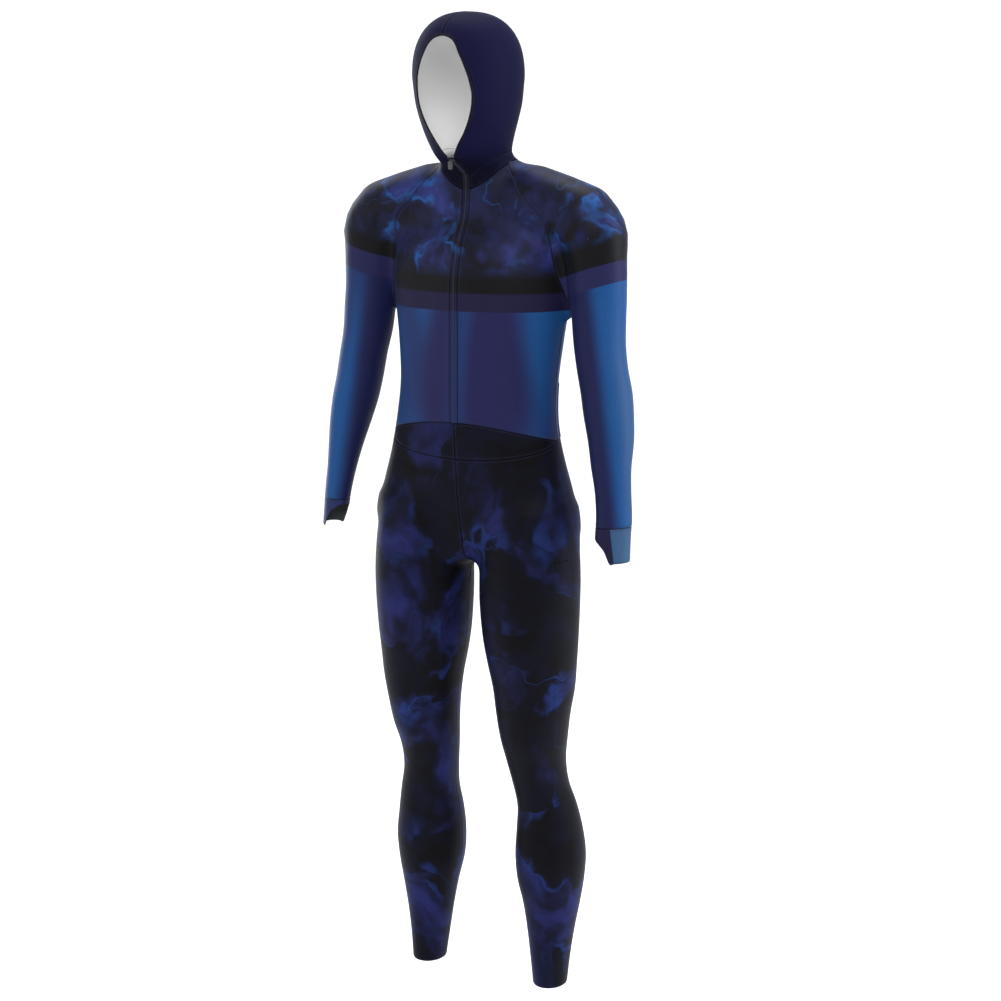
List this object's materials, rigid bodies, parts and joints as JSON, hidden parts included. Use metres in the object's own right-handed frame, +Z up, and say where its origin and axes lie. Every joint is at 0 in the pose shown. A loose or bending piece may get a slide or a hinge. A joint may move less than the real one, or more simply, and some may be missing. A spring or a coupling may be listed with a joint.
{
  "type": "speed skating suit",
  "caption": "Hooded speed skating suit, filled out with no wearer: raglan sleeves, zipped front, thumb-cut cuffs, long legs.",
  "frame": {"origin": "inside the suit, on the middle line at the height of the shoulder line, 1450 mm above the floor that the wearer stands on", "axes": "+X to the wearer's left, -Y out of the front, +Z up"},
  "size_m": [0.5911, 0.2393, 1.702],
  "materials": {
    "hood_cloth": "matt knit",
    "print_cloth": "satin knit",
    "cuff_cloth": "satin knit",
    "leg_cloth": "satin knit",
    "edging": "matt elastic",
    "zip_tape": "woven tape and nylon coil",
    "zip_metal": "satin paint"
  },
  "bodies": {
    "suit": {"front_left": "print_cloth", "front_right": "print_cloth", "back": "print_cloth", "back_pocket": "print_cloth", "sleeve_left": "print_cloth", "sleeve_right": "print_cloth", "cuff_left": "cuff_cloth", "cuff_right": "cuff_cloth", "front_yoke_left": "leg_cloth", "front_yoke_right": "leg_cloth", "leg_left": "leg_cloth", "leg_right": "leg_cloth", "collar_left": "hood_cloth", "collar_right": "hood_cloth", "hood_left": "hood_cloth", "hood_right": "hood_cloth", "face_binding": "edging", "zip": "zip_tape", "zip_slider": "zip_metal"},
    "pull": {"zip_pull": "zip_metal"}
  },
  "joints": [
    {"name": "pull_swing", "type": "hinge", "parent": "suit", "child": "pull", "pos_m": [0, -0.10657, 0.08573], "axis": [-1, 0, 0], "range_deg": [0, 110]}
  ]
}
